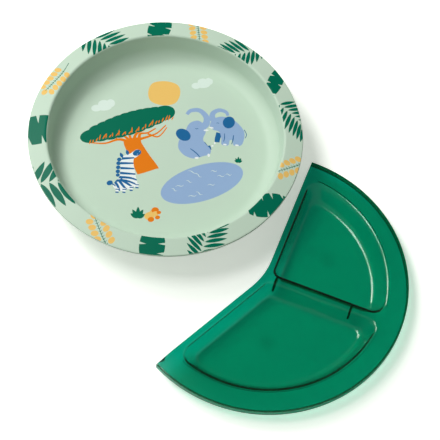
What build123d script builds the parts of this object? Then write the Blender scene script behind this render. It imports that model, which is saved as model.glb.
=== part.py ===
"""Toddler suction bowl with a lift-out two-compartment divider.

Units are millimetres, +Z is up and the table is z = 0. The origin is on the table, at the centre of the
floor area that the set covers. The bowl stands on its suction cup at the back left, and the divider is
lifted out and lies beside it at the front right, on the floors of its two wells.
"""
from build123d import *

import math
import os

# ---- bowl shell: one polypropylene moulding --------------------------------------------------------
bowl_radius = 110.0        # outer edge of the rim
rim_inner_radius = 94.6    # where the rim turns down into the wall
rim_height = 38.0          # top of the rim above the table
rim_fall = 2.0             # the rim's outer edge lies this much lower than its inner edge
shell_wall = 2.2
bowl_depth = 24.0          # from the rim down to the floor
wall_foot_radius = 91.0    # the inside wall's radius at floor level, before the floor fillet
floor_fillet = 12.0
rim_inner_round = 2.0
rim_edge_round = 0.9
foot_radius = 74.5         # foot ring under the floor
foot_wall = 2.4
foot_clearance = 2.0       # the foot ring's height above the table until the cup is pressed down

# ---- suction cup: one soft moulding, pushed into a socket under the floor ---------------------------
cup_radius = 62.0
cup_lip_width = 4.0
cup_lip_thickness = 1.4
cup_hub_radius = 20.0
cup_hub_thickness = 3.4
stem_radius = 7.5
stem_clearance = 0.3
bead_bulge = 1.1           # how far the bead stands out from the stem
bead_height = 1.6
socket_wall = 3.0
socket_depth = 4.8
stem_end_gap = 0.5

# ---- release tab: a pull tab on the edge of the cup --------------------------------------------------
tab_angle = 128.0          # direction of the tab round the bowl, degrees from +X
tab_reach = 103.0          # radius of the tab's free end
tab_width = 20.0
tab_end_round = 9.0
tab_thickness = 2.0
tab_gap = 0.3              # clearance to the cup's edge and to the table
tab_rib_height = 0.6       # finger ribs across the top of the tab, near its free end
tab_rib_width = 1.2
tab_rib_length = 12.0
tab_rib_pitch = 4.0
tab_rib_count = 4
tab_rib_end_margin = 6.5   # from the free end to the middle of the first rib
tab_notch_clearance = 3.0  # each side of the tab, in the foot ring

# ---- printed in-mould labels -------------------------------------------------------------------------
label_thickness = 0.15
label_margin = 0.9         # from the rim label to the edges of the rim
floor_label_radius = 78.0

# ---- divider: one clear green moulding with two wells --------------------------------------------------
divider_clearance = 1.0    # between the divider's lip and the rim it hooks over, all round
divider_wall = 1.6
lip_height = 7.6           # from the top of the flange down to the lip's lower edge
well_radius = 95.0         # outer edge of the wells at the top
flange_land = 1.5          # level strip outside the wells, before the flange falls to its edge
well_depth = 14.0
well_draft_outer = 8.6     # how far the outer wall of a well leans in over its depth
well_draft_side = 4.2      # the same for its two straight walls
arm_inset = 5.2            # flange left beside the two open edges
ridge_width = 7.7          # flange left between the two wells
apex_corner = 5.0
outer_corner = 8.0
well_floor_fillet = 3.0
notch_round = 60.0         # the wide rounding of the open edges where they meet
arm_start = -132.6         # directions of the two open edges and of the ridge, degrees from +X
ridge_angle = -16.4
arm_end = 74.3
web_thickness = 1.2
web_places = (9.0, 71.0)   # distances of the webs under the ridge from the divider's centre
web_depth = 10.0
gate_recess_radius = 3.0   # dimple under each well that keeps the moulding gate off the table
gate_recess_depth = 0.5
gate_radius = 1.0
gate_height = 0.3
gate_places = ((50.5, -83.0), (55.5, 29.0))  # distance and direction from the divider's centre

# ---- where the divider lies ----------------------------------------------------------------------------
divider_spacing = 1.2665   # distance between the two centres, in bowl radii
divider_direction = -50.24 # from the bowl's axis to the divider's centre, degrees from +X

# ---- worked out from the values above --------------------------------------------------------------------
divider_radius = bowl_radius + divider_clearance + divider_wall
floor_top = rim_height - bowl_depth
floor_under = floor_top - shell_wall
socket_end = floor_under - socket_depth
bead_radius = stem_radius + bead_bulge
divider_distance = divider_spacing * bowl_radius
divider_offset_x = divider_distance * math.cos(math.radians(divider_direction))
divider_offset_y = divider_distance * math.sin(math.radians(divider_direction))
bowl_x = -(divider_offset_x + divider_radius - bowl_radius) / 2
bowl_y = -(divider_offset_y - divider_radius + bowl_radius) / 2
divider_x = bowl_x + divider_offset_x
divider_y = bowl_y + divider_offset_y
flange_top = well_depth + divider_wall
tab_root_radius = cup_radius + tab_gap + tab_thickness / 2
tab_height = tab_gap + tab_thickness / 2


def revolved(points, rounds=()):
    """Turns a closed section of (radius, height) points round Z. rounds lists (point index, radius)."""
    with BuildSketch(Plane.XZ) as section:
        with BuildLine():
            Polyline(*points, close=True)
        make_face()
        for index, radius in rounds:
            r, z = points[index]
            corner = section.vertices().sort_by_distance((r, z, 0))[0]  # the section's own x and y
            fillet(corner, radius)
    return revolve(section.sketch, axis=Axis.Z)


def rim_z(r):
    """Height of the rim's top face at radius r: it falls evenly towards the outer edge."""
    return rim_height - rim_fall * (r - rim_inner_radius) / (bowl_radius - rim_inner_radius)


def rim_label_section():
    """The rim label's section, sunk flush into the rim's top face."""
    inner = rim_inner_radius + rim_inner_round + label_margin
    outer = bowl_radius - rim_edge_round - label_margin
    return [
        (inner, rim_z(inner)),
        (outer, rim_z(outer)),
        (outer, rim_z(outer) - label_thickness),
        (inner, rim_z(inner) - label_thickness),
    ]


def make_rim_label():
    return revolved(rim_label_section())


def make_floor_label():
    """A printed film disc, flush with the floor."""
    return Pos(0, 0, floor_top - label_thickness / 2) * Cylinder(floor_label_radius, label_thickness)


def make_bowl_shell():
    outside_foot = wall_foot_radius + shell_wall
    section = [
        (0, floor_top),
        (wall_foot_radius, floor_top),
        (rim_inner_radius, rim_height),
        (bowl_radius, rim_z(bowl_radius)),
        (bowl_radius, rim_z(bowl_radius) - shell_wall),
        (rim_inner_radius + shell_wall, rim_z(rim_inner_radius + shell_wall) - shell_wall),
        (outside_foot, floor_under),
        (0, floor_under),
    ]
    rounds = [
        (1, floor_fillet),
        (2, rim_inner_round),
        (3, rim_edge_round),
        (4, rim_edge_round),
        (5, rim_inner_round),
        (6, floor_fillet + shell_wall),
    ]
    shell = revolved(section, rounds=rounds)
    foot_height = floor_under - foot_clearance
    foot = Pos(0, 0, foot_clearance + foot_height / 2) * (
        Cylinder(foot_radius, foot_height) - Cylinder(foot_radius - foot_wall, foot_height)
    )
    notch_width = tab_width + 2 * tab_notch_clearance
    notch_depth = 4 * foot_wall  # reaches well past both faces of the curved wall
    notch = Pos(foot_radius, 0, floor_under / 2) * Box(notch_depth, notch_width, floor_under)
    foot -= Rot(0, 0, tab_angle) * notch
    socket_radius = bead_radius + stem_clearance + socket_wall
    bore_radius = stem_radius + stem_clearance
    groove_height = bead_height + 2 * stem_clearance
    groove_centre = floor_under - stem_end_gap - groove_height / 2
    socket = Pos(0, 0, socket_end + socket_depth / 2) * (
        Cylinder(socket_radius, socket_depth) - Cylinder(bore_radius, socket_depth)
    )
    socket -= Pos(0, 0, groove_centre) * Cylinder(bead_radius + stem_clearance, groove_height)
    return shell + foot + socket - make_rim_label() - make_floor_label()


def make_suction_cup():
    """A shallow soft cone with a flat sealing lip, a thick hub and a beaded stem on top."""
    bead_top = floor_under - stem_end_gap - stem_clearance
    bead_bottom = bead_top - bead_height
    hub_under = socket_end - cup_hub_thickness
    section = [
        (0, bead_top),
        (stem_radius, bead_top),
        (bead_radius, bead_top - bead_height / 2),
        (stem_radius, bead_bottom),
        (stem_radius, socket_end),
        (cup_hub_radius, socket_end),
        (cup_radius, cup_lip_thickness),
        (cup_radius, 0),
        (cup_radius - cup_lip_width, 0),
        (cup_hub_radius, hub_under),
        (0, hub_under),
    ]
    return revolved(section)


def make_release_tab():
    """A flat pull tab whose rounded root turns just clear of the cup's edge. It points along +X here."""
    reach = tab_reach - tab_root_radius
    blade = Pos(tab_root_radius + reach / 2, 0, tab_height) * Box(reach, tab_width, tab_thickness)
    blade = fillet(blade.edges().filter_by(Axis.Z).group_by(Axis.X)[-1], tab_end_round)
    root = Pos(tab_root_radius, 0, tab_height) * Rot(90, 0, 0) * Cylinder(tab_thickness / 2, tab_width)
    tab = blade + root
    rib_centre = tab_height + tab_thickness / 2 + tab_rib_height / 2
    for k in range(tab_rib_count):
        x = tab_reach - tab_rib_end_margin - k * tab_rib_pitch
        tab += Pos(x, 0, rib_centre) * Box(tab_rib_width, tab_rib_length, tab_rib_height)
    return Rot(0, 0, tab_angle) * tab


def well_face(start, end, start_inset, end_inset, radius, corner, outer, z):
    """A pie-shaped face at height z between two directions, inset from both, with three round corners."""
    a, b = math.radians(start), math.radians(end)
    along_a, along_b = (math.cos(a), math.sin(a)), (math.cos(b), math.sin(b))
    off_a, off_b = (-math.sin(a), math.cos(a)), (math.sin(b), -math.cos(b))
    turn = b - a
    reach = (end_inset + start_inset * math.cos(turn)) / math.sin(turn)
    apex = tuple(start_inset * off_a[k] + reach * along_a[k] for k in (0, 1))
    out_a = math.sqrt(radius**2 - start_inset**2)
    out_b = math.sqrt(radius**2 - end_inset**2)
    first = tuple(start_inset * off_a[k] + out_a * along_a[k] for k in (0, 1))
    last = tuple(end_inset * off_b[k] + out_b * along_b[k] for k in (0, 1))
    middle = (radius * math.cos((a + b) / 2), radius * math.sin((a + b) / 2))
    with BuildSketch(Plane.XY.offset(z)) as face:
        with BuildLine():
            Line(apex, first)
            ThreePointArc(first, middle, last)
            Line(last, apex)
        make_face()
        fillet(face.vertices().sort_by_distance((*apex, z))[0], corner)
        fillet(face.vertices().sort_by_distance((*first, z))[0], outer)
        fillet(face.vertices().sort_by_distance((*last, z))[0], outer)
    return face.sketch.face()


def well_solid(start, end, start_inset, end_inset, grow, z_top, z_bottom):
    """A well-shaped block from z_top to z_bottom, grown outwards by grow, with its walls at their draft."""
    faces = []
    for z in (z_top, z_bottom):
        fall = (flange_top - z) / well_depth
        faces.append(
            well_face(
                start,
                end,
                start_inset + well_draft_side * fall - grow,
                end_inset + well_draft_side * fall - grow,
                well_radius - well_draft_outer * fall + grow,
                apex_corner + grow,
                outer_corner + grow,
                z,
            )
        )
    return loft(faces, ruled=True)


def wells():
    """The two wells as (start angle, end angle, inset at start, inset at end)."""
    half_ridge = ridge_width / 2
    return [
        (arm_start, ridge_angle, arm_inset, half_ridge),
        (ridge_angle, arm_end, half_ridge, arm_inset),
    ]


def pie_block(height):
    """A block over the divider's plan: everything between its two open edges, with their corner rounded."""
    reach = 2 * divider_radius
    steps = 3  # straight sides round the outside, all of them well beyond the dish
    points = [(0.0, 0.0)]
    for k in range(steps + 1):
        angle = math.radians(arm_start + (arm_end - arm_start) * k / steps)
        points.append((reach * math.cos(angle), reach * math.sin(angle)))
    with BuildSketch() as plan:
        with BuildLine():
            Polyline(*points, close=True)
        make_face()
        fillet(plan.vertices().sort_by_distance((0, 0, 0))[0], notch_round)
    return extrude(plan.sketch, amount=height)


def make_divider():
    top, wall = flange_top, divider_wall
    lip_end = top - lip_height
    land_radius = well_radius + flange_land
    section = [
        (0, top),
        (land_radius, top),
        (divider_radius, top - rim_fall),
        (divider_radius, lip_end),
        (divider_radius - wall, lip_end),
        (divider_radius - wall, top - rim_fall - wall),
        (land_radius, top - wall),
        (0, top - wall),
    ]
    tray = revolved(section, rounds=[(2, rim_edge_round)]) & pie_block(2 * top)
    for start, end, inset_a, inset_b in wells():
        outside = well_solid(start, end, inset_a, inset_b, wall, top - wall / 2, 0)
        outside = fillet(outside.faces().sort_by(Axis.Z)[0].edges(), well_floor_fillet + wall)
        tray += outside
    ridge = math.radians(ridge_angle)
    for place in web_places:
        web = Pos(place * math.cos(ridge), place * math.sin(ridge), top - wall / 2 - web_depth / 2)
        tray += web * Rot(0, 0, ridge_angle) * Box(web_thickness, ridge_width + 2 * wall, web_depth)
    for start, end, inset_a, inset_b in wells():
        inside = well_solid(start, end, inset_a, inset_b, 0, top + wall, top - well_depth)
        inside = fillet(inside.faces().sort_by(Axis.Z)[0].edges(), well_floor_fillet)
        tray -= inside
    for distance, direction in gate_places:
        angle = math.radians(direction)
        under = Pos(distance * math.cos(angle), distance * math.sin(angle), 0)
        tray -= under * Pos(0, 0, gate_recess_depth / 2) * Cylinder(gate_recess_radius, gate_recess_depth)
        nub_centre = gate_recess_depth - gate_height / 2
        tray += under * Pos(0, 0, nub_centre) * Cylinder(gate_radius, gate_height)
    return tray


def main():
    at_bowl = Pos(bowl_x, bowl_y, 0)
    at_divider = Pos(divider_x, divider_y, 0)
    parts = {
        "bowl_shell": at_bowl * make_bowl_shell(),
        "rim_label": at_bowl * make_rim_label(),
        "floor_label": at_bowl * make_floor_label(),
        "suction_cup": at_bowl * make_suction_cup(),
        "release_tab": at_bowl * make_release_tab(),
        "divider_tray": at_divider * make_divider(),
    }
    os.makedirs("parts", exist_ok=True)
    for name, shape in parts.items():
        export_step(shape, f"parts/{name}.step")
        print(name, "solids", len(shape.solids()), "valid", shape.is_valid)


main()
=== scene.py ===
"""The look of a toddler suction bowl with a printed rim and floor, and its clear green divider lying beside it.

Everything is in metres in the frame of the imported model. Pieces are drawn in millimetres and scaled once.
"""
import math

import bmesh
import bpy
import numpy as np
from mathutils import Matrix, Vector
from mathutils.geometry import delaunay_2d_cdt


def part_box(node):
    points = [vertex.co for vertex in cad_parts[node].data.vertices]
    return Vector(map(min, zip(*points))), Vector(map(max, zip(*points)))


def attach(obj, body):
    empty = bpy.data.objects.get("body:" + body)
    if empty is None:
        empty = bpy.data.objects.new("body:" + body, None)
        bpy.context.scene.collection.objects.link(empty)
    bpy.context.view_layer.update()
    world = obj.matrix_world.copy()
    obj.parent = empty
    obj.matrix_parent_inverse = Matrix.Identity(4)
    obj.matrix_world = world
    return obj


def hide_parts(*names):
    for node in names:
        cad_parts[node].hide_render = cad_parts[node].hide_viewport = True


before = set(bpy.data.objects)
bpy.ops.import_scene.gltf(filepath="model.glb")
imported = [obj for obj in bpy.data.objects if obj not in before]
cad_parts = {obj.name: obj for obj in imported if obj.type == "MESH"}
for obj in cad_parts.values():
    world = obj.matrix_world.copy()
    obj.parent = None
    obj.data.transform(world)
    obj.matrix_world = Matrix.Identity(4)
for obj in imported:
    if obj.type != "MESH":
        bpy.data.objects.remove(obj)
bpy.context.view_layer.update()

# ---- The table, the light and the camera --------------------------------------------------------------
# A white table top with two soft lamps at the left, one at the back and one high up, and a long lens that
# looks down on the set from the front. The sky is pale, and dark where the lens would see it mirrored.
MM = 0.001


def new_material(name):
    """An empty node material, with its node tree and its output node."""
    made = bpy.data.materials.new(name)
    made.use_nodes = True
    tree = made.node_tree
    tree.nodes.clear()
    return made, tree, tree.nodes.new("ShaderNodeOutputMaterial")


def area_lamp(name, place, aim, width, power, colour):
    """A square soft box of the given width, at place and facing aim."""
    lamp = bpy.data.lights.new(name, "AREA")
    lamp.shape, lamp.size, lamp.energy, lamp.color = "SQUARE", width, power, colour
    holder = bpy.data.objects.new(name, lamp)
    bpy.context.scene.collection.objects.link(holder)
    turn = (Vector(aim) - Vector(place)).to_track_quat("-Z", "Y").to_matrix().to_4x4()
    holder.matrix_world = Matrix.Translation(place) @ turn
    return holder


table_half, table_z = 3.0, -0.1 * MM
white_lift = 0.46      # added to what the lens sees of the table, so that it is white and its shadows stay
through_share = 0.6    # the share of that lift on what is seen through the clear divider
table_mesh = bpy.data.meshes.new("table_top")
table_mesh.from_pydata(
    [(-table_half, -table_half, table_z), (table_half, -table_half, table_z), (table_half, table_half, table_z),
     (-table_half, table_half, table_z)], [], [(0, 1, 2, 3)])
table_top = bpy.data.objects.new("table_top", table_mesh)
bpy.context.scene.collection.objects.link(table_top)
table_paint, tree, out = new_material("table_white")
diffuse = tree.nodes.new("ShaderNodeBsdfDiffuse")
diffuse.inputs["Color"].default_value = (0.90, 0.91, 0.89, 1)
glow = tree.nodes.new("ShaderNodeEmission")
glow.inputs["Color"].default_value = (0.95, 1.0, 0.92, 1)
seen = tree.nodes.new("ShaderNodeLightPath")
lift = tree.nodes.new("ShaderNodeMath")
lift.operation = "MULTIPLY"
lift.inputs[1].default_value = white_lift
both = tree.nodes.new("ShaderNodeAddShader")
either = tree.nodes.new("ShaderNodeMath")
either.operation = "MULTIPLY_ADD"
either.inputs[1].default_value = through_share
tree.links.new(seen.outputs["Is Transmission Ray"], either.inputs[0])
tree.links.new(seen.outputs["Is Camera Ray"], either.inputs[2])
tree.links.new(either.outputs[0], lift.inputs[0])
tree.links.new(lift.outputs[0], glow.inputs["Strength"])
tree.links.new(diffuse.outputs[0], both.inputs[0])
tree.links.new(glow.outputs[0], both.inputs[1])
tree.links.new(both.outputs[0], out.inputs["Surface"])
table_mesh.materials.append(table_paint)

# The sky is even, and dims smoothly round the direction in which the bowl would mirror it to the lens.
mirror_direction, sky_strength, mirror_strength = (0.0, 0.485, 0.875), 0.25, 0.03
world = bpy.data.worlds.new("studio")
bpy.context.scene.world = world
world.use_nodes = True
sky = world.node_tree
sky.nodes["Background"].inputs["Color"].default_value = (0.92, 1.0, 0.93, 1)
heading = sky.nodes.new("ShaderNodeTexCoord")
facing = sky.nodes.new("ShaderNodeVectorMath")
facing.operation = "DOT_PRODUCT"
facing.inputs[1].default_value = mirror_direction
dim = sky.nodes.new("ShaderNodeMapRange")
dim.interpolation_type = "SMOOTHSTEP"
dim.inputs["From Min"].default_value = 0.72
dim.inputs["From Max"].default_value = 0.94
dim.inputs["To Min"].default_value = sky_strength
dim.inputs["To Max"].default_value = mirror_strength
sky.links.new(heading.outputs["Generated"], facing.inputs[0])
sky.links.new(facing.outputs["Value"], dim.inputs["Value"])
sky.links.new(dim.outputs[0], sky.nodes["Background"].inputs["Strength"])
area_lamp("key_lamp", (-0.70, 0.56, 1.00), (0, 0, 0), 0.50, 8.7, (1.0, 0.99, 0.97))
area_lamp("top_lamp", (-0.58, 0.04, 1.12), (0, 0, 0), 0.45, 6.6, (1.0, 0.995, 0.98))

view_target = Vector((3.95, 1.35, 0.0)) * MM
view_distance = 1.219
view_fall = math.radians(61.05)
view_roll = math.radians(5.73)
ahead = Vector((0, math.cos(view_fall), -math.sin(view_fall)))
level = Vector((1, 0, 0))
above = level.cross(ahead)
camera_x = math.cos(view_roll) * level + math.sin(view_roll) * above
camera_y = -math.sin(view_roll) * level + math.cos(view_roll) * above
camera_data = bpy.data.cameras.new("camera")
camera_data.sensor_width, camera_data.lens = 36.0, 124.2
camera = bpy.data.objects.new("camera", camera_data)
bpy.context.scene.collection.objects.link(camera)
axes = Matrix((camera_x, camera_y, -ahead)).transposed().to_4x4()
camera.matrix_world = Matrix.Translation(view_target - view_distance * ahead) @ axes
bpy.context.scene.camera = camera
bpy.context.scene.view_settings.view_transform = "Standard"

# ---- Bowl ----------------------------------------------------------------------------------------------
# One satin polypropylene moulding: a wide rim, a steep wall with a round foot, and a level floor. Under the
# floor stand a foot ring, with a notch for the pull tab, and the socket that the suction cup clips into.
bowl_radius, rim_inner = 110.0, 94.6     # the rim's outer and inner edges
rim_height, rim_fall = 38.0, 2.0         # the rim's inner edge, and how far it falls to the outer one
floor_top, wall_foot, wall = 14.0, 91.0, 2.2
floor_round, rim_round, edge_round = 12.0, 2.0, 0.9
foot_radius, foot_wall, foot_clearance, foot_round = 74.5, 2.4, 2.0, 0.6
notch_half = 13.0                        # half the gap in the foot ring that lets the tab out
socket_inner, socket_outer, socket_end = 7.8, 11.9, 7.0
sunk = 0.3                               # how far the foot ring and the socket run up into the floor
floor_under = floor_top - wall
tab_angle = math.radians(128.0)
bowl_low, bowl_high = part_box("bowl_shell")
bowl_centre = (np.array(bowl_low) + np.array(bowl_high))[:2] / 2 / MM


def rounded_outline(corners, steps=10):
    """Rounds the corners of a chain of (x, y, radius). At each corner both sides are cut back by the radius
    over the tangent of half the corner's angle, and points at even angles follow the arc between the cuts."""
    chain = np.array(corners, float)
    points = [chain[0, :2]]
    for before, here, after in zip(chain[:-2], chain[1:-1], chain[2:]):
        back, on = before[:2] - here[:2], after[:2] - here[:2]
        back, on = back / np.linalg.norm(back), on / np.linalg.norm(on)
        half = math.acos(np.clip(back @ on, -1, 1)) / 2
        if here[2] == 0:
            points.append(here[:2])
            continue
        middle = here[:2] + (back + on) / np.linalg.norm(back + on) * here[2] / math.sin(half)
        first = here[:2] + back * here[2] / math.tan(half) - middle
        last = here[:2] + on * here[2] / math.tan(half) - middle
        start = math.atan2(first[1], first[0])
        sweep = (math.atan2(last[1], last[0]) - start + math.pi) % (2 * math.pi) - math.pi
        angles = start + sweep * np.linspace(0, 1, steps)
        points.extend(middle + here[2] * np.stack([np.cos(angles), np.sin(angles)], 1))
    points.append(chain[-1, :2])
    return np.array(points)


def add_piece(name, vertices, faces, centre=(0, 0), smooth=40):
    """A new object from vertices in millimetres about centre, with faces smooth up to the given angle."""
    placed = np.asarray(vertices, float) + np.array([centre[0], centre[1], 0.0])
    mesh = bpy.data.meshes.new(name)
    mesh.from_pydata((placed * MM).tolist(), [], faces)
    mesh.validate()
    mesh.update()
    piece = bpy.data.objects.new(name, mesh)
    bpy.context.scene.collection.objects.link(piece)
    if smooth:
        mesh.shade_smooth()
        mesh.set_sharp_from_angle(angle=math.radians(smooth))
    return piece


def spun(outline, sides=288, start=0.0, turn=2 * math.pi):
    """Carries an outline of (radius, height) round the axis: point i at step j lies at radius i times the
    cosine and sine of angle j. A full turn joins its ends; a point on the axis comes out once for each step,
    and becomes one pole only when the piece is merged."""
    full = abs(turn - 2 * math.pi) < 1e-9
    angles = start + turn * np.arange(sides + (0 if full else 1)) / sides
    radius, height = outline[:, 0], outline[:, 1]
    count, steps = len(outline), len(angles)
    grid = np.stack([radius[:, None] * np.cos(angles), radius[:, None] * np.sin(angles),
                     np.repeat(height[:, None], steps, 1)], -1).reshape(-1, 3)
    i, j = np.meshgrid(np.arange(count - 1), np.arange(steps if full else steps - 1), indexing="ij")
    k = (j + 1) % steps
    quads = np.stack([i * steps + j, i * steps + k, (i + 1) * steps + k, (i + 1) * steps + j], -1)
    return grid, quads.reshape(-1, 4).tolist(), steps


def merged(piece, distance=0.001):
    """Joins vertices closer than distance in millimetres, so that poles and seams close, and turns the faces
    outwards."""
    work = bmesh.new()
    work.from_mesh(piece.data)
    bmesh.ops.remove_doubles(work, verts=work.verts, dist=distance * MM)
    bmesh.ops.dissolve_degenerate(work, edges=work.edges, dist=distance * MM / 2)
    bmesh.ops.recalc_face_normals(work, faces=work.faces)
    work.to_mesh(piece.data)
    work.free()
    piece.data.update()


def linear(red, green, blue):
    """A colour written as 0 to 255 in each channel, as light: ((c + 0.055) / 1.055) to the power 2.4."""
    share = np.array([red, green, blue]) / 255.0
    curved = np.where(share <= 0.04045, share / 12.92, ((share + 0.055) / 1.055) ** 2.4)
    return (*curved.tolist(), 1.0)


def moulded(name, colour, roughness, mottling=0.03, grain=0.02, grain_size=0.5, sheen=0.0):
    """Moulded plastic: broad faint mottling of the colour, slightly uneven polish, and a fine grain in the
    surface. Grain size is in millimetres."""
    made, tree, out = new_material(name)
    body = tree.nodes.new("ShaderNodeBsdfPrincipled")
    place = tree.nodes.new("ShaderNodeTexCoord")
    broad = tree.nodes.new("ShaderNodeTexNoise")
    broad.inputs["Scale"].default_value = 1 / (40 * MM)
    broad.inputs["Detail"].default_value = 3
    tint = tree.nodes.new("ShaderNodeMix")
    tint.data_type = "RGBA"
    base = np.array(colour)
    tint.inputs["A"].default_value = (*(base[:3] * (1 - mottling)).tolist(), 1)
    tint.inputs["B"].default_value = (*np.minimum(base[:3] * (1 + mottling), 1).tolist(), 1)
    fine = tree.nodes.new("ShaderNodeTexNoise")
    fine.inputs["Scale"].default_value = 1 / (grain_size * MM)
    fine.inputs["Detail"].default_value = 2
    polish = tree.nodes.new("ShaderNodeMapRange")
    polish.inputs["To Min"].default_value = roughness - 0.05
    polish.inputs["To Max"].default_value = roughness + 0.05
    bump = tree.nodes.new("ShaderNodeBump")
    bump.inputs["Strength"].default_value = 0.4
    bump.inputs["Distance"].default_value = grain * MM
    for a, b in ((place.outputs["Object"], broad.inputs["Vector"]),
                 (place.outputs["Object"], fine.inputs["Vector"]),
                 (broad.outputs["Fac"], tint.inputs["Factor"]),
                 (tint.outputs["Result"], body.inputs["Base Color"]),
                 (fine.outputs["Fac"], polish.inputs["Value"]),
                 (polish.outputs[0], body.inputs["Roughness"]),
                 (fine.outputs["Fac"], bump.inputs["Height"]),
                 (bump.outputs[0], body.inputs["Normal"]),
                 (body.outputs[0], out.inputs["Surface"])):
        tree.links.new(a, b)
    body.inputs["Specular IOR Level"].default_value = 0.09
    if sheen:
        body.inputs["Sheen Weight"].default_value = sheen
    return made


def rim_z(r):
    """Height of the rim's top face at radius r: it falls evenly towards the outer edge."""
    return rim_height - rim_fall * (r - rim_inner) / (bowl_radius - rim_inner)


shell_outline = rounded_outline([
    (0, floor_top, 0), (wall_foot, floor_top, floor_round), (rim_inner, rim_height, rim_round),
    (bowl_radius, rim_z(bowl_radius), edge_round), (bowl_radius, rim_z(bowl_radius) - wall, edge_round),
    (rim_inner + wall, rim_z(rim_inner + wall) - wall, rim_round),
    (wall_foot + wall, floor_under, floor_round + wall), (0, floor_under, 0)], steps=14)
floor_rows = np.array([(r, floor_top) for r in (20.0, 45.0, 65.0, 79.0)])
under_rows = np.array([(r, floor_under) for r in (76.0, 60.0, 30.0)])
shell_outline = np.vstack([shell_outline[:1], floor_rows, shell_outline[1:-1], under_rows, shell_outline[-1:]])
shell_points, shell_faces, _ = spun(shell_outline)
half_notch = math.asin(notch_half / foot_radius)
foot_outline = rounded_outline([
    (foot_radius - foot_wall, floor_under + sunk, 0), (foot_radius - foot_wall, foot_clearance, foot_round),
    (foot_radius, foot_clearance, foot_round), (foot_radius, floor_under + sunk, 0),
    (foot_radius - foot_wall, floor_under + sunk, 0)], steps=5)
foot_points, foot_faces, foot_steps = spun(
    foot_outline, 200, tab_angle + half_notch, 2 * math.pi - 2 * half_notch)
foot_ring = (np.arange(len(foot_outline) - 1) * foot_steps).tolist()
foot_faces += [foot_ring, [k + foot_steps - 1 for k in foot_ring[::-1]]]
socket_outline = rounded_outline([
    (socket_inner, floor_under + sunk, 0), (socket_inner, socket_end, 0.3), (socket_outer, socket_end, 0.5),
    (socket_outer, floor_under + sunk, 0), (socket_inner, floor_under + sunk, 0)], steps=4)
socket_points, socket_faces, _ = spun(socket_outline, 96)
bowl_points, bowl_faces = shell_points, list(shell_faces)
for points, faces in ((foot_points, foot_faces), (socket_points, socket_faces)):
    bowl_faces += [[k + len(bowl_points) for k in face] for face in faces]
    bowl_points = np.vstack([bowl_points, points])
bowl = add_piece("bowl", bowl_points, bowl_faces, bowl_centre, smooth=0)
merged(bowl)
bowl.data.shade_smooth()
bowl.data.set_sharp_from_angle(angle=math.radians(40))
sage = linear(197, 218, 200)
bowl.data.materials.append(moulded("bowl_sage_plastic", sage, 0.36, grain=0.02))
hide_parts("bowl_shell")
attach(bowl, "bowl")

# ---- Printed labels ------------------------------------------------------------------------------------
# Two films moulded into the bowl, a ring on the rim and a disc on the floor. The print is a savanna: leaves
# and berries on the rim, and a tree, a pond, a zebra and two elephants on the floor.
film = 0.15     # thickness
proud = 0.03    # how far the ink stands above the bowl's surface
ink_colours = {
    "sage": (197, 218, 200), "leaf": (0, 108, 83), "yellow": (238, 194, 108), "orange": (230, 124, 22),
    "sky": (148, 176, 214), "blue": (33, 102, 156), "cloud": (219, 235, 226), "white": (236, 242, 242)}
ink_names = list(ink_colours)


def smooth_loop(points, steps=6):
    """A closed curve through points: between two of them the place is the Catmull-Rom cubic of those two and
    their outer neighbours."""
    p = np.array(points, float)
    before, after, beyond = np.roll(p, 1, 0), np.roll(p, -1, 0), np.roll(p, -2, 0)
    t = np.linspace(0, 1, steps, endpoint=False)[None, :, None]
    a, b, c, d = (q[:, None, :] for q in (before, p, after, beyond))
    curve = 0.5 * (2 * b + (c - a) * t + (2 * a - 5 * b + 4 * c - d) * t**2 + (3 * b - a - 3 * c + d) * t**3)
    return curve.reshape(-1, 2)


def smooth_path(points, steps=6):
    """An open curve through points, by the same cubic, with each end point standing in for what lies beyond."""
    p = np.array(points, float)
    p = np.vstack([2 * p[0] - p[1], p, 2 * p[-1] - p[-2]])
    t = np.linspace(0, 1, steps, endpoint=False)[None, :, None]
    a, b, c, d = (q[:, None, :] for q in (p[:-3], p[1:-2], p[2:-1], p[3:]))
    curve = 0.5 * (2 * b + (c - a) * t + (2 * a - 5 * b + 4 * c - d) * t**2 + (3 * b - a - 3 * c + d) * t**3)
    return np.vstack([curve.reshape(-1, 2), p[-2:-1]])


def brush(points, widths, steps=6):
    """A stroke: the path's points moved sideways by half the width, out along one side and back along the
    other. The widths are spread evenly over the path."""
    path = smooth_path(points, steps)
    along = np.gradient(path, axis=0)
    side = np.stack([-along[:, 1], along[:, 0]], 1) / np.linalg.norm(along, axis=1)[:, None]
    share = np.linspace(0, 1, len(path))
    half = np.interp(share, np.linspace(0, 1, len(widths)), widths)[:, None] / 2
    return np.vstack([path + side * half, (path - side * half)[::-1]])


def oval(x, y, rx, ry, turn=0.0, count=28):
    """An ellipse with radii rx and ry about (x, y), turned by turn degrees."""
    a = np.linspace(0, 2 * np.pi, count, endpoint=False)
    c, s = math.cos(math.radians(turn)), math.sin(math.radians(turn))
    u, v = rx * np.cos(a), ry * np.sin(a)
    return np.stack([x + u * c - v * s, y + u * s + v * c], 1)


def blade(x, y, length, width, heading, bulge=0.45):
    """A pointed leaf from (x, y) along heading: its half width is a sine of the share of the way, bent so that
    it is widest at bulge."""
    t = np.linspace(0, 1, 12)
    half = width / 2 * np.sin(np.pi * t ** (math.log(0.5) / math.log(bulge))) ** 0.8
    c, s = math.cos(math.radians(heading)), math.sin(math.radians(heading))
    u, v = np.r_[t, t[-2:0:-1]] * length, np.r_[half, -half[-2:0:-1]]
    return np.stack([x + u * c - v * s, y + u * s + v * c], 1)


def placed(outline, x, y, heading, size=1.0):
    """An outline scaled by size, turned by heading degrees and moved to (x, y)."""
    c, s = math.cos(math.radians(heading)), math.sin(math.radians(heading))
    u, v = outline[:, 0] * size, outline[:, 1] * size
    return np.stack([x + u * c - v * s, y + u * s + v * c], 1)


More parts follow.
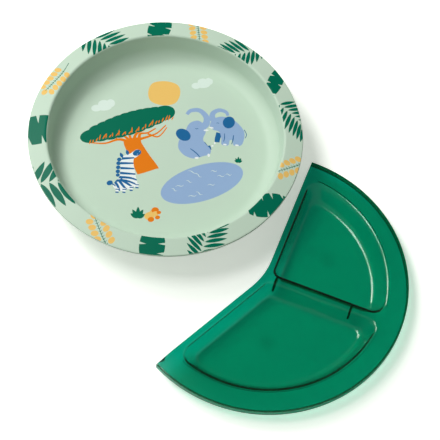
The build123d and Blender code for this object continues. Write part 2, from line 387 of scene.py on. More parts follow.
def frond(pairs, length, reach, width, spread=67):
    """A palm frond along +x: pairs of blades leave the rib at the spread angle, longest near the middle, and
    leave the rib itself bare."""
    shapes = []
    for share in np.linspace(0.0, 0.95, pairs):
        bend = 0.06 * length * math.sin(math.pi * share)
        long = reach * (0.55 + 0.45 * math.sin(math.pi * (0.15 + 0.75 * share)))
        for side in (1, -1):
            start = (length * (share - 0.5), bend + side * 0.25)
            shapes.append(("leaf", blade(*start, long, width, side * (spread - 18 * share), 0.46)))
    return shapes


def torn_leaf(length, width, tears):
    """A broad leaf along +x. Its half width is the square root of a sine of the share of the way, so that its
    ends are blunt. Each side has its own number of tears, evenly spread: narrow notches in towards the rib."""
    tear_opens, tear_deepest, tear_shuts, left_at_tear = 0.05, 0.03, 0.015, 0.45
    sides = []
    for side, count, first in ((1, tears[0], 0.7), (-1, tears[1], 0.4)):
        places = (np.arange(count) + first) / count
        edge = [(t, 1.0) for t in np.linspace(0, 1, 25) if np.abs(t - places).min() > tear_opens]
        for place in places:
            edge += [(place - tear_opens, 1.0), (place - tear_deepest, left_at_tear), (place + tear_shuts, 1.0)]
        share, depth = np.array(sorted(edge)).T
        share = np.clip(share, 0, 1)
        half = side * depth * width / 2 * np.sqrt(np.sin(np.pi * (0.06 + 0.88 * share)))
        sides.append(np.stack([(share - 0.5) * length, half], 1))
    return [("leaf", np.vstack([sides[0], sides[1][::-1]]))]


def berry_sprig(pairs, length, size):
    """A sprig along +x: pairs of round yellow leaves and one at the tip, on a thin dark stem with a short
    stalk to each."""
    shapes = []
    for share in np.linspace(0.02, 0.86, pairs):
        for side in (1, -1):
            x, y = length * (share - 0.5) + 0.3 * size, side * 0.88 * size
            shapes.append(("yellow", oval(x, y, 0.56 * size, 0.43 * size, side * 62, 20)))
    shapes.append(("yellow", oval(length * 0.5 + 0.3 * size, 0, 0.56 * size, 0.43 * size, 0, 20)))
    stem = [(-0.85 * length, -1.6), (-0.4 * length, 0.3), (0.1 * length, 0.2), (0.5 * length, -0.2)]
    shapes.append(("leaf", brush(stem, [0.55, 0.5, 0.35])))
    for share in np.linspace(0.02, 0.86, 2 * pairs):
        x = length * (share - 0.5)
        shapes += [("leaf", brush([(x, 0.1), (x + 0.8, side * 1.3)], [0.36, 0.3], 2)) for side in (1, -1)]
    return shapes


motif_shapes = {
    "frond": frond(9, 36, 18.5, 3.3), "broad_frond": frond(7, 42, 25.0, 5.6), "sprig": berry_sprig(5, 24, 5.2),
    "broad_leaf": torn_leaf(32, 20, (3, 4)), "narrow_leaf": torn_leaf(32, 12.5, (3, 4))}
# Motifs on the rim: what it is, its direction round the bowl, its radius, its heading, its size.
rim_motifs = [
    ("sprig", 157.5, 102.6, 240, 1.0), ("frond", 128.2, 103.0, -24, 1.05), ("sprig", 80.8, 102.5, -78, 1.0),
    ("frond", 58.0, 103.5, 204, 0.95), ("frond", 14.5, 104.0, -44, 0.92), ("sprig", -11.5, 102.5, -150, 1.0),
    ("frond", -66.0, 103.0, 76, 0.95), ("sprig", -113.4, 102.5, 119, 1.05), ("broad_frond", -145.5, 102.5, 8, 1.0),
    ("broad_leaf", 99, 102.5, 79, 0.95), ("narrow_leaf", 35.5, 102.5, -106, 1.0),
    ("broad_leaf", -33.5, 102.5, -159, 1.0), ("broad_leaf", -90, 102.5, 90, 1.0),
    ("broad_leaf", -175, 102.5, 15, 1.35)]
rim_art = []
for kind, direction, radius, heading, size in rim_motifs:
    x, y = radius * math.cos(math.radians(direction)), radius * math.sin(math.radians(direction))
    rim_art += [(ink, placed(shape, x, y, heading, size), None) for ink, shape in motif_shapes[kind]]


# The floor picture is in millimetres from the bowl's axis, and each part is listed from its lowest ink up.
def whole(shapes):
    """Marks inked shapes as printed whole, not cut to another outline."""
    return [(ink, shape, None) for ink, shape in shapes]


def sun():
    """A round yellow sun, a little square."""
    edge = [(-20, 53), (-17, 62), (-6, 65), (4, 62), (6.5, 53), (3, 44), (-7, 41), (-17, 44)]
    return whole([("yellow", smooth_loop(edge))])


def clouds():
    """Two clouds, each of four flat ovals that overlap."""
    puffs = ((-5.5, -1.6, 5, 2.2), (0, 1.2, 5.5, 2.6), (5.5, 2.0, 4.2, 2.6), (1, -0.8, 7, 2.0))
    return whole([
        ("cloud", oval(cx + dx * size, cy + 1.7 * dy * size, 0.85 * rx * size, 1.5 * ry * size, 12))
        for cx, cy, size in ((-55, 34.5, 1.0), (24, 66, 0.92)) for dx, dy, rx, ry in puffs])


def tree():
    """An umbrella tree: boughs that spread from a leaning trunk, a flat crown of ovals set along a slope, and
    short twigs along the crown's underside."""
    boughs = (
        ([(-27, 1), (-38, 4), (-49, -1), (-62, -2)], [3.4, 1.8, 1.1]),
        ([(-28, 2), (-36, 8), (-45, 4), (-53, 2)], [2.6, 1.5, 1.0]),
        ([(-28, 3), (-32, 11), (-38, 11), (-42, 7)], [2.4, 1.5, 1.0]),
        ([(-27, 3), (-25, 11), (-19, 16), (-26, 15)], [3.0, 1.8, 1.2]),
        ([(-22, 4), (-22, 11), (-16, 13), (-10, 18)], [3.0, 1.7, 1.1]),
        ([(-22, 6), (-14, 10), (-8, 14), (-2, 22)], [2.6, 1.5, 1.0]),
        ([(-16, 12), (-8, 10), (-4, 14), (-1, 20)], [1.6, 1.2, 0.9]),
        ([(-40, 4), (-44, 8), (-50, 6), (-56, 1)], [1.4, 1.2, 0.9]),
        ([(-33, 9), (-28, 14), (-24, 16)], [1.1, 0.8, 0.6]))
    trunk = [(-34.5, 1.5), (-29, 6), (-22, 7.5), (-20, 3), (-13, -7), (-4, -18.5), (-6, -20.5), (-18, -26.5),
             (-20.5, -26), (-26, -15)]
    shapes = [("orange", brush(path, widths)) for path, widths in boughs]
    shapes.append(("orange", smooth_loop(trunk, 5)))
    for share in np.linspace(0, 1, 9):
        swell = math.sin(math.pi * (0.1 + 0.75 * share))
        shapes.append(("leaf", oval(-61 + 56 * share, 4.5 + 29 * share, 9.5, 4.5 + 6.0 * swell, 22)))
        shapes.append(("leaf", oval(-56 + 44 * share, 9 + 22 * share + 5 * swell, 8.0, 5.5, 12)))
    twigs = 26
    for k in range(twigs):
        t = k / (twigs - 1)
        x, y = -62 + 64 * t, -1.0 + 30.5 * t + 1.2 * math.sin(9 * t)
        shapes.append(("orange", blade(x, y - 2.6, 5.0 + 1.6 * math.sin(5 * k), 1.0, 78 + 18 * math.sin(3 * k))))
    return whole(shapes)


def zebra():
    """A zebra under the tree: a white body, dark stripes cut to it, and a dark muzzle, mane, tail, ears and
    hooves."""
    body = smooth_loop([
        (-19.5, -6.5), (-22, -10.5), (-24.5, -13.5), (-23.5, -20), (-21, -29), (-19, -36), (-22, -40), (-27, -42),
        (-32, -44), (-37.5, -41), (-37, -36), (-34, -31), (-34, -24), (-34.5, -17), (-33, -11.5), (-28, -8.5),
        (-23, -4)])
    stripes = (
        [(-35, -14), (-24, -12)], [(-36, -18.5), (-23, -17)], [(-36, -23), (-22, -22)], [(-36, -27.5), (-20, -27)],
        [(-36, -31.5), (-26, -31), (-19, -32.5)], [(-37, -35), (-28, -34), (-18, -37)],
        [(-33, -33), (-26, -37), (-20, -41)], [(-34, -34), (-30, -39), (-26, -43)],
        [(-37, -36), (-34, -40), (-32, -45)])
    muzzle_mane_and_tail = (
        (-22.5, -7, 3.6, 2.7, 35), (-36, -15, 1.8, 1.8, 0), (-36.2, -18.6, 1.8, 1.8, 0), (-36, -22.4, 1.8, 1.8, 0),
        (-35.8, -26.2, 1.8, 1.8, 0), (-35.4, -29.6, 1.6, 1.6, 0), (-41, -37.5, 2.6, 2.2, 40))
    shapes = [("blue", oval(*dark, 16)) for dark in muzzle_mane_and_tail]
    shapes.append(("blue", brush([(-41, -38), (-38, -38.5), (-36, -40)], [1.2, 0.9], 4)))
    shapes += [("blue", blade(x, y, 5.2, 2.6, heading)) for x, y, heading in ((-33.5, -13, 118), (-29.5, -10, 108))]
    for x, y in ((-34.5, -43), (-29, -42.5), (-23.5, -40), (-19.2, -37)):
        shapes.append(("white", brush([(x, y + 1.5), (x + 0.4, y - 2.2)], [2.6, 2.2], 3)))
        shapes.append(("blue", brush([(x - 1.2, y + 0.2), (x + 1.6, y + 0.4)], [0.9, 0.9], 3)))
        shapes.append(("blue", brush([(x - 0.9, y - 2.4), (x + 1.6, y - 2.3)], [1.3, 1.3], 3)))
    shapes += [("sky", oval(x, y, 0.5, 0.5, 0, 10)) for x, y in ((-22, -8.2), (-20.5, -5.6))]
    striped = [("blue", brush(path, [2.4, 1.9, 1.2], 4), body) for path in stripes]
    return [("white", body, None)] + striped + whole(shapes)


trunk_widths = [7.5, 5.6, 4.4, 3.6, 2.8]    # an elephant's trunk, from the head to the tip


def sitting_elephant():
    """An elephant that sits and faces right: far leg, body, raised trunk, tusk, ear, creases, eye and nails."""
    body = [(14, 17), (17, 26), (24, 29.5), (30, 25), (31, 19), (29.5, 13), (31, 9), (36.5, 3), (36, -1.5),
            (31, -4), (24, -7), (16, -5), (10.5, 1), (10, 8), (12, 12)]
    trunk = [(26, 23), (30.5, 27), (30, 34), (24, 39.5), (17, 38.5), (14, 34.5)]
    return whole([
        ("blue", brush([(29, 8), (33, 4), (36.5, 5)], [5.5, 5.0, 4.0])),
        ("white", oval(37.6, 6.6, 1.0, 0.8, 30, 12)),
        ("sky", smooth_loop(body)), ("sky", brush(trunk, trunk_widths)),
        ("white", blade(29.0, 20.6, 4.6, 1.7, 10)), ("blue", oval(13, 14.5, 6.6, 5.2, -35)),
        ("blue", brush([(20, 2), (25, -1.5), (28.5, -5)], [0.7, 0.9, 0.6])),
        ("blue", brush([(22.2, 21.8), (23.4, 21.4), (24.6, 21.9)], [0.5, 0.5])),
        ("white", oval(26, -6.2, 1.7, 0.9, 10, 12)), ("white", oval(35.4, -2.6, 1.0, 1.5, 15, 12))])


def standing_elephant():
    """An elephant that stands and faces left, in the same parts and with a tail, drawn a little too large and
    then made smaller about its middle."""
    body = [(33.5, 27), (36, 34), (43, 38), (52, 37), (60, 32), (66, 24), (66.5, 15), (64, 8.5), (57.5, 8),
            (56.5, 13), (53.5, 13), (52.5, 7.5), (46.5, 7.5), (45.5, 14), (43, 21), (37, 23)]
    trunk = [(40, 32), (35.5, 35), (35.5, 41), (41, 45), (47.5, 43.5), (49.5, 39.8)]
    shapes = [
        ("blue", brush([(43, 20), (42, 13), (42, 9.5)], [5.5, 5.0, 4.4])),
        ("white", oval(39.9, 8.4, 0.9, 1.2, 0, 12)),
        ("sky", smooth_loop(body)), ("sky", brush(trunk, trunk_widths)),
        ("white", blade(37.5, 24.6, 4.6, 1.7, 176)), ("blue", oval(51, 32.5, 5.6, 6.6, -10)),
        ("blue", brush([(48, 20), (48.4, 15), (48, 11)], [0.5, 0.8, 0.6])),
        ("blue", brush([(56.5, 19), (56.4, 14), (55.6, 9)], [0.6, 1.0, 0.6])),
        ("blue", brush([(39.6, 30.4), (40.8, 30.8), (42, 30.3)], [0.5, 0.5])),
        ("white", oval(49.4, 7.9, 1.8, 0.9, 0, 12)), ("white", oval(60.5, 8.4, 1.8, 0.9, 0, 12)),
        ("blue", brush([(66, 26), (68.5, 21), (67.5, 17)], [0.8, 0.6]))]
    return whole([(ink, (shape - [43, 22]) * 0.88 + [42, 21.5]) for ink, shape in shapes])


def pond():
    """An oval pond with short pale ripples, each a thin stroke with a slight wave."""
    ripples = ((24, -20, 8, -12), (29, -22.5, 6, -28), (41, -17, 5, 10), (47, -21, 6, 6), (53, -19, 5, 4),
               (15, -34, 7, 18), (11, -38, 5, -20), (26, -42, 7, 16), (31, -39, 6, -22), (40, -30, 6, 14),
               (22, -29, 5, -10))
    shapes = [("sky", oval(32.5, -29, 35.0, 16.2, 27, 72))]
    for x, y, length, turn in ripples:
        wave = [(-length / 2, 0), (-length / 5, 0.7), (length / 5, -0.5), (length / 2, 0.4)]
        shapes.append(("cloud", placed(brush(wave, [0.12, 0.5, 0.12]), x, y, turn)))
    return whole(shapes)


def tufts_and_fruit():
    """Two tufts of five leaves each, and a heap of round fruit beside the larger one."""
    leaves = ((150, 7.2), (125, 9.0), (95, 10.5), (68, 9.0), (40, 6.8))
    fruit = (("yellow", -6, -64, 4.2), ("yellow", -3.2, -60.6, 3.4), ("orange", -2.2, -58.2, 3.0),
             ("yellow", -1.6, -61.4, 2.6), ("orange", -4.6, -67.0, 2.6), ("orange", 0.4, -64.6, 2.0),
             ("orange", 1.0, -60.0, 1.8))
    shapes = [("leaf", blade(x, y - 0.5 * size, length * size, 3.4 * size, heading))
              for x, y, size in ((-15, -66.5, 1.0), (60, -6.5, 0.55)) for heading, length in leaves]
    shapes += [(ink, oval(x, y, r, r * 0.86, 20, 20)) for ink, x, y, r in fruit]
    return whole(shapes)


floor_art = (sun() + clouds() + tree() + zebra() + sitting_elephant() + standing_elephant() + pond()
             + tufts_and_fruit())


def covered(points, outline):
    """Which points lie in a closed outline: those with an odd number of its sides to their right."""
    low, high = outline.min(0), outline.max(0)
    answer = np.zeros(len(points), bool)
    near = np.where(((points >= low) & (points <= high)).all(1))[0]
    if near.size:
        x, y = points[near, 0][:, None], points[near, 1][:, None]
        ax, ay = outline[:, 0], outline[:, 1]
        bx, by = np.roll(ax, -1), np.roll(ay, -1)
        crosses = (ay > y) != (by > y)
        rise = np.where(by == ay, 1.0, by - ay)
        answer[near] = (crosses & (x < ax + (y - ay) / rise * (bx - ax))).sum(1) % 2 == 1
    return answer


def printed_film(name, art, rings, height, inner):
    """A closed film cut along every printed outline. The plan is triangulated with the rings and the outlines
    as fixed edges; each triangle takes the ink of the last outline over its middle; the top follows height
    and the underside lies one film lower."""
    points, edges = [], []
    for radius in rings:
        a = np.linspace(0, 2 * np.pi, 240, endpoint=False)
        circle = np.stack([radius * np.cos(a), radius * np.sin(a)], 1)
        base = len(points)
        points += circle.tolist()
        edges += [(base + k, base + (k + 1) % 240) for k in range(240)]
    for _, outline, _ in art:
        base, count = len(points), len(outline)
        points += outline.tolist()
        edges += [(base + k, base + (k + 1) % count) for k in range(count)]
    flat, _, triangles, *_ = delaunay_2d_cdt([Vector(p) for p in points], edges, [], 0, 1e-4)
    flat = np.array([tuple(p) for p in flat])
    triangles = np.array([t for t in triangles if len(t) == 3])
    middle = flat[triangles].mean(1)
    reach = np.hypot(*middle.T)
    edge_sag = math.cos(math.pi / 240)
    keep = (reach < rings[-1] * edge_sag) & (reach > inner)
    triangles, middle = triangles[keep], middle[keep]
    ink = np.zeros(len(triangles), int)
    for colour, outline, within in art:
        hit = covered(middle, outline)
        if within is not None:
            hit &= covered(middle, within)
        ink[hit] = ink_names.index(colour)
    a, b, c = (flat[triangles[:, k]] for k in range(3))
    turned = (b[:, 0] - a[:, 0]) * (c[:, 1] - a[:, 1]) - (b[:, 1] - a[:, 1]) * (c[:, 0] - a[:, 0])
    triangles[turned < 0] = triangles[turned < 0][:, ::-1]
    used, index = np.unique(triangles, return_inverse=True)
    triangles = index.reshape(-1, 3)
    plan = flat[used]
    top = np.column_stack([plan, height(np.hypot(*plan.T))])
    below = top - [0, 0, film]
    sides = np.vstack([triangles[:, [0, 1]], triangles[:, [1, 2]], triangles[:, [2, 0]]])
    owner = np.tile(np.arange(len(triangles)), 3)
    keys = np.sort(sides, 1) @ [len(plan), 1]
    _, first, counts = np.unique(keys, return_index=True, return_counts=True)
    rim = first[counts == 1]
    wall_faces = np.column_stack([sides[rim][:, ::-1], sides[rim] + len(plan)])
    faces = triangles.tolist() + (triangles[:, ::-1] + len(plan)).tolist() + wall_faces.tolist()
    piece = add_piece(name, np.vstack([top, below]), faces, bowl_centre, smooth=40)
    piece.data.polygons.foreach_set("material_index", np.r_[ink, ink * 0, ink[owner[rim]]].astype(np.int32))
    for ink_name, colour in ink_colours.items():
        known = bpy.data.materials.get("ink_" + ink_name)
        piece.data.materials.append(
            known or moulded("ink_" + ink_name, linear(*colour), 0.36, 0.025, 0.015, 0.35))
    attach(piece, "bowl")
    return piece


top_row = np.argmax(shell_outline[:, 0])
rim_top = shell_outline[(np.arange(len(shell_outline)) <= top_row) & (shell_outline[:, 0] > rim_inner)]


def rim_film_height(r):
    """Height of the rim's surface at radius r, read from the shell's own outline, and a hair above it."""
    return np.interp(r, rim_top[:, 0], rim_top[:, 1]) + proud


rim_rings = [95.1, 95.4, 95.8, 96.3, 97.0, 100.0, 104.0, 108.0, 109.1, 109.4, 109.65]
rim_label = printed_film("rim_print", rim_art, rim_rings, rim_film_height, rim_rings[0])
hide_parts("rim_label")
floor_label = printed_film(
    "floor_print", floor_art, [26.0, 52.0, 78.0], lambda r: floor_top + proud + 0 * r, -1.0)
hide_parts("floor_label")

# ---- Suction cup ---------------------------------------------------------------------------------------
# A soft silicone cone, moulded in one piece, with a flat sealing lip, a thick hub and a beaded stem. The stem
# is pushed into the bowl's socket, where the bead holds it.
cup_radius, cup_edge, seal_inner = 62.0, 1.4, 58.0    # the edge's radius and thickness, and the seal's inside
hub_radius, hub_top, hub_under = 20.0, 7.0, 3.6
stem_radius, stem_top = 7.5, 11.0
bead_radius, bead_z, bead_under = 8.6, 10.2, 9.4
cup_outline = rounded_outline([
    (0, stem_top, 0), (stem_radius, stem_top, 0.3), (bead_radius, bead_z, 0.3), (stem_radius, bead_under, 0.2),
    (stem_radius, hub_top, 0.2), (hub_radius, hub_top, 2.5), (cup_radius, cup_edge, 0.5), (cup_radius, 0.0, 0.3),
    (seal_inner, 0.0, 0.2), (hub_radius, hub_under, 3.0), (0, hub_under, 0)], steps=6)
cup_points, cup_faces, _ = spun(cup_outline, 192)
suction_cup = add_piece("suction_cup_soft", cup_points, cup_faces, bowl_centre, smooth=0)
merged(suction_cup)
suction_cup.data.shade_smooth()
suction_cup.data.set_sharp_from_angle(angle=math.radians(50))
silicone = moulded("soft_silicone", linear(176, 204, 182), 0.6, 0.04, 0.01, 0.8, sheen=0.15)
suction_cup.data.materials.append(silicone)
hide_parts("suction_cup")
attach(suction_cup, "bowl")

# ---- Release tab ---------------------------------------------------------------------------------------
# A flat silicone pull tab at the cup's edge, with finger ribs near its round end. It lies under the rim.
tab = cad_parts["release_tab"]
tab.data.materials.clear()
tab.data.materials.append(silicone)

# ---- Divider -------------------------------------------------------------------------------------------
# One clear green moulding, 1.6 mm thick: a flange with a turned-down lip that hooks over the bowl's rim, and
# two deep wells with sloping walls and round corners.
divider_wall, divider_radius, lip_height, lip_round = 1.6, 112.6, 7.6, 0.9
flange_top, flange_land = 15.6, 96.5     # the flange's height, and where it starts to fall with the rim
well_radius, well_depth = 95.0, 14.0
draft_outer, draft_side = 8.6, 4.2       # how far the well's outer arc and its straight sides come in
arm_start, ridge_angle, arm_end = -132.6, -16.4, 74.3    # directions of the two open edges and of the ridge
arm_inset, half_ridge = 5.2, 3.85        # from those directions to the wells' edges
apex_corner, outer_corner, well_edge, well_foot = 5.0, 8.0, 2.1, 3.8
notch_round = 60.0                       # the wide rounding where the two open edges meet
gate_places = ((50.5, -83.0), (55.5, 29.0))    # where the plastic was let in: (distance, direction)
divider_low, divider_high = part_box("divider_tray")
divider_centre = np.array([divider_high[0], divider_low[1]]) / MM + [-divider_radius, divider_radius]
well_places = ((arm_start, ridge_angle, arm_inset, half_ridge), (ridge_angle, arm_end, half_ridge, arm_inset))


def arc(centre, radius, start, end, count):
    """Points at even angles on a circle, from the start angle to the end angle, in radians."""
    a = np.linspace(start, end, count)
    return centre + radius * np.stack([np.cos(a), np.sin(a)], 1)


def well_loop(start, end, inset_a, inset_b, radius, corner_in, corner_out):
    """The plan of a well at one height, run through the same number of points at every height: a round corner
    at the apex, a straight side, a round corner, the outer arc, a round corner and the other straight side.
    Each corner's centre lies its own radius away from both of the lines that it joins."""
    a, b = math.radians(start), math.radians(end)
    along_a, along_b = np.array([math.cos(a), math.sin(a)]), np.array([math.cos(b), math.sin(b)])
    off_a, off_b = np.array([-along_a[1], along_a[0]]), np.array([along_b[1], -along_b[0]])
    in_a, in_b = inset_a + corner_in, inset_b + corner_in
    apex = np.linalg.solve(np.array([off_a, off_b]), np.array([in_a, in_b]))
    out_a, out_b = inset_a + corner_out, inset_b + corner_out
    side_a = out_a * off_a + math.sqrt((radius - corner_out) ** 2 - out_a**2) * along_a
    side_b = out_b * off_b + math.sqrt((radius - corner_out) ** 2 - out_b**2) * along_b
    turn_a, turn_b = math.atan2(side_a[1], side_a[0]), math.atan2(side_b[1], side_b[0])
    facing_a, facing_b = math.atan2(-off_a[1], -off_a[0]), math.atan2(-off_b[1], -off_b[0])
    facing_b += 2 * math.pi if facing_b < facing_a else 0

    def unwrap(value, near):
        return near + (value - near + math.pi) % (2 * math.pi) - math.pi

    outer_a = arc(side_a, corner_out, facing_a, unwrap(turn_a, facing_a), 14)
    outer_arc = arc(np.zeros(2), radius, turn_a, unwrap(turn_b, turn_a), 90)[1:-1]
    outer_b = arc(side_b, corner_out, turn_b, unwrap(facing_b, turn_b), 14)
    sweep = (facing_a - facing_b) % (2 * math.pi)
    inner = arc(apex, corner_in, facing_b, facing_b + sweep, 14)
    share = np.linspace(0, 1, 26)[1:-1, None]
    line_a = inner[-1] + share * (outer_a[0] - inner[-1])
    line_b = outer_b[-1] + share * (inner[0] - outer_b[-1])
    return np.vstack([inner, line_a, outer_a, outer_arc, outer_b, line_b])


def well_rows(start, end, inset_a, inset_b):
    """The rows of one well from the flange down: a round edge, the sloping wall, a round foot and the floor.
    Each row is the well's plan at its depth, grown or shrunk by an offset; both bends follow a parabola."""
    t = np.linspace(0, 1, 6)
    edge = [(well_edge * (1 - k) ** 2, well_edge * k * k) for k in t]
    side = [(0.0, d) for d in np.linspace(well_edge, well_depth - well_foot, 5)[1:-1]]
    foot = [(-well_foot * k * k, well_depth - well_foot * (1 - k) ** 2) for k in t]
    floor = [(-well_foot - 0.8, well_depth)]
    rows = []
    for grow, depth in edge + side + foot + floor:
        fall = depth / well_depth
        loop = well_loop(start, end, inset_a + draft_side * fall - grow, inset_b + draft_side * fall - grow,
                         well_radius - draft_outer * fall + grow, apex_corner + grow, outer_corner + grow)
        rows.append(np.column_stack([loop, np.full(len(loop), flange_top - depth)]))
    return rows


def flange_height(r):
    """Height of the flange at radius r: level to the land, then down to the rim's slope along a smooth step."""
    share = np.clip((r - flange_land) / (divider_radius - flange_land), 0, 1)
    return flange_top - rim_fall * share**1.4


# The wells: each row of a well is joined to the next, and the last one is closed by the floor.
tray_points, tray_faces = [], []
well_edges = []
for place in well_places:
    rows = well_rows(*place)
    count, base = len(rows[0]), len(tray_points)
    for row in rows:
        tray_points += row.tolist()
    for i in range(len(rows) - 1):
        tray_faces += [[base + i * count + k, base + (i + 1) * count + k, base + (i + 1) * count + (k + 1) % count,
                        base + i * count + (k + 1) % count] for k in range(count)]
    tray_faces.append([base + (len(rows) - 1) * count + k for k in range(count)])
    well_edges.append(rows[0][:, :2])

# The flange's outline: the outer arc, one open edge, the round notch between the two, and the other edge.
a, b = math.radians(arm_start), math.radians(arm_end)
flange_edge = divider_radius - lip_round
wedge = (2 * math.pi - (b - a)) / 2
behind = (a + b) / 2 + math.pi
notch_centre = notch_round / math.sin(wedge) * np.array([math.cos(behind), math.sin(behind)])
tangent = notch_round / math.tan(wedge)
from_b = tangent * np.array([math.cos(b), math.sin(b)]) - notch_centre
from_a = tangent * np.array([math.cos(a), math.sin(a)]) - notch_centre
begin, finish = math.atan2(from_b[1], from_b[0]), math.atan2(from_a[1], from_a[0])
finish = begin + (finish - begin + math.pi) % (2 * math.pi) - math.pi
outer_edge = arc(np.zeros(2), flange_edge, a, b, 260)
down_b = np.linspace(flange_edge, tangent, 50)[1:, None] * [math.cos(b), math.sin(b)]
up_a = np.linspace(tangent, flange_edge, 50)[:-1, None] * [math.cos(a), math.sin(a)]
notch = arc(notch_centre, notch_round, begin, finish, 16)[1:-1]
flange_outline = np.vstack([outer_edge, down_b, notch, up_a])

# The flange: its plan is triangulated with the outline, the wells' edges and some arcs as fixed edges.
plan_points, plan_edges = [], []
flange_arcs = [(arc(np.zeros(2), r, a, b, 200), False) for r in (96.9, 98.0, 100.0, 103.0, 106.5, 110.0)]
for loop, closed in [(flange_outline, True), (well_edges[0], True), (well_edges[1], True)] + flange_arcs:
    base, count = len(plan_points), len(loop)
    plan_points += loop.tolist()
    plan_edges += [(base + k, base + (k + 1) % count) for k in range(count if closed else count - 1)]
flat, _, triangles, *_ = delaunay_2d_cdt([Vector(p) for p in plan_points], plan_edges, [], 0, 1e-5)
flat = np.array([tuple(p) for p in flat])
triangles = np.array(triangles)
middle = flat[triangles].mean(1)
keep = covered(middle, flange_outline) & ~covered(middle, well_edges[0]) & ~covered(middle, well_edges[1])
triangles = triangles[keep]
p, q, s = (flat[triangles[:, k]] for k in range(3))
turned = (q[:, 0] - p[:, 0]) * (s[:, 1] - p[:, 1]) - (q[:, 1] - p[:, 1]) * (s[:, 0] - p[:, 0])
triangles[turned < 0] = triangles[turned < 0][:, ::-1]
base = len(tray_points)
tray_points += np.column_stack([flat, flange_height(np.hypot(*flat.T))]).tolist()
tray_faces += (triangles + base).tolist()

# The lip: a quarter round and a straight drop, carried round the outer arc.
bend = np.linspace(0, math.pi / 2, 6)
edge_height = float(flange_height(np.array(flange_edge)))
lip_outline = np.vstack([
    np.column_stack([flange_edge + lip_round * np.sin(bend), edge_height - lip_round * (1 - np.cos(bend))]),
    [(divider_radius, z) for z in (11.0, flange_top - lip_height)]])
lip_points, lip_faces, _ = spun(lip_outline, 259, a, b - a)
base = len(tray_points)
tray_points += lip_points.tolist()
tray_faces += [[base + k for k in face] for face in lip_faces]
divider = add_piece("divider_clear", np.array(tray_points), tray_faces, divider_centre, smooth=0)
merged(divider, 0.004)
divider.data.shade_smooth()
thick = divider.modifiers.new("thickness", "SOLIDIFY")
thick.thickness, thick.offset = divider_wall * MM, -1.0
thick.use_even_offset = thick.use_quality_normals = True
ease = divider.modifiers.new("edges", "BEVEL")
ease.width, ease.segments, ease.limit_method, ease.angle_limit = 0.35 * MM, 3, "ANGLE", math.radians(50)
even = divider.modifiers.new("even_normals", "WEIGHTED_NORMAL")
even.keep_sharp = True


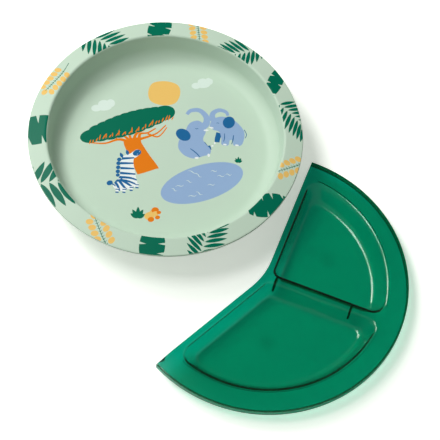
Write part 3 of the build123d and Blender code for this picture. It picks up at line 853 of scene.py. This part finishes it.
def clear_green(name, centre, gates):
    """Clear green plastic: it passes green light, darkens with the depth of plastic that light crosses, and
    lets the lamps tint what lies behind it. Round each gate, where the plastic was let in, it is a little
    darker; the gates are places in millimetres from centre."""
    gate_z, gate_reach = 0.8 * MM, 11 * MM
    made, tree, out = new_material(name)
    body = tree.nodes.new("ShaderNodeBsdfPrincipled")
    body.inputs["Transmission Weight"].default_value = 1.0
    body.inputs["IOR"].default_value = 1.49
    body.inputs["Specular IOR Level"].default_value = 0.5
    place = tree.nodes.new("ShaderNodeTexCoord")
    wave = tree.nodes.new("ShaderNodeTexNoise")
    wave.inputs["Scale"].default_value = 1 / (18 * MM)
    wave.inputs["Detail"].default_value = 2
    polish = tree.nodes.new("ShaderNodeMapRange")
    polish.inputs["To Min"].default_value = 0.10
    polish.inputs["To Max"].default_value = 0.17
    near_gate = tree.nodes.new("ShaderNodeMath")
    near_gate.operation = "MINIMUM"
    for k, (distance, direction) in enumerate(gates):
        turn = math.radians(direction)
        gap = tree.nodes.new("ShaderNodeVectorMath")
        gap.operation = "DISTANCE"
        gap.inputs[1].default_value = ((centre[0] + distance * math.cos(turn)) * MM,
                                       (centre[1] + distance * math.sin(turn)) * MM, gate_z)
        tree.links.new(place.outputs["Object"], gap.inputs[0])
        tree.links.new(gap.outputs["Value"], near_gate.inputs[k])
    fade = tree.nodes.new("ShaderNodeMapRange")
    fade.interpolation_type = "SMOOTHSTEP"
    fade.inputs["From Max"].default_value = gate_reach
    tint = tree.nodes.new("ShaderNodeMix")
    tint.data_type = "RGBA"
    tint.inputs["A"].default_value = (0.0, 0.425, 0.325, 1)
    tint.inputs["B"].default_value = (0.0, 0.485, 0.37, 1)
    passed = tree.nodes.new("ShaderNodeBsdfTransparent")
    passed.inputs["Color"].default_value = (0.34, 0.60, 0.51, 1)
    rays = tree.nodes.new("ShaderNodeLightPath")
    pick = tree.nodes.new("ShaderNodeMixShader")
    depth = tree.nodes.new("ShaderNodeVolumeAbsorption")
    depth.inputs["Color"].default_value = (0.0, 0.74, 0.62, 1)
    depth.inputs["Density"].default_value = 800.0
    for x, y in ((place.outputs["Object"], wave.inputs["Vector"]), (wave.outputs["Fac"], polish.inputs["Value"]),
                 (polish.outputs[0], body.inputs["Roughness"]), (near_gate.outputs[0], fade.inputs["Value"]),
                 (fade.outputs[0], tint.inputs["Factor"]), (tint.outputs["Result"], body.inputs["Base Color"]),
                 (rays.outputs["Is Shadow Ray"], pick.inputs[0]), (body.outputs[0], pick.inputs[1]),
                 (passed.outputs[0], pick.inputs[2]), (pick.outputs[0], out.inputs["Surface"]),
                 (depth.outputs[0], out.inputs["Volume"])):
        tree.links.new(x, y)
    return made


green = clear_green("clear_green_plastic", divider_centre, gate_places)
divider.data.materials.append(green)
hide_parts("divider_tray")
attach(divider, "divider")

# Two small webs stiffen the ridge between the wells. They hang under the flange, narrower at the top.
web_places, web_half = (9.0, 71.0), 0.8
web_top, web_drop = flange_top - divider_wall - 0.05, 9.0
web_top_half, web_foot_half = half_ridge - divider_wall - 0.1, half_ridge - divider_wall + 2.6
ridge = math.radians(ridge_angle)
web_corners = np.array([(-1, -1), (1, -1), (1, 1), (-1, 1)] * 2, float)
web_v = web_corners[:, 1] * np.repeat([web_top_half, web_foot_half], 4)
web_z = np.repeat([web_top, web_top - web_drop], 4)
web_box = np.array([(0, 1, 2, 3), (7, 6, 5, 4), (4, 5, 1, 0), (5, 6, 2, 1), (6, 7, 3, 2), (7, 4, 0, 3)])
web_points, web_faces = [], []
for k, distance in enumerate(web_places):
    u = distance + web_corners[:, 0] * web_half
    turned_u = u * math.cos(ridge) - web_v * math.sin(ridge)
    turned_v = u * math.sin(ridge) + web_v * math.cos(ridge)
    web_points.append(np.column_stack([turned_u, turned_v, web_z]))
    web_faces += (web_box + 8 * k).tolist()
webs = add_piece("ridge_webs", np.vstack(web_points), web_faces, divider_centre, smooth=0)
webs.data.materials.append(green)
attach(webs, "divider")
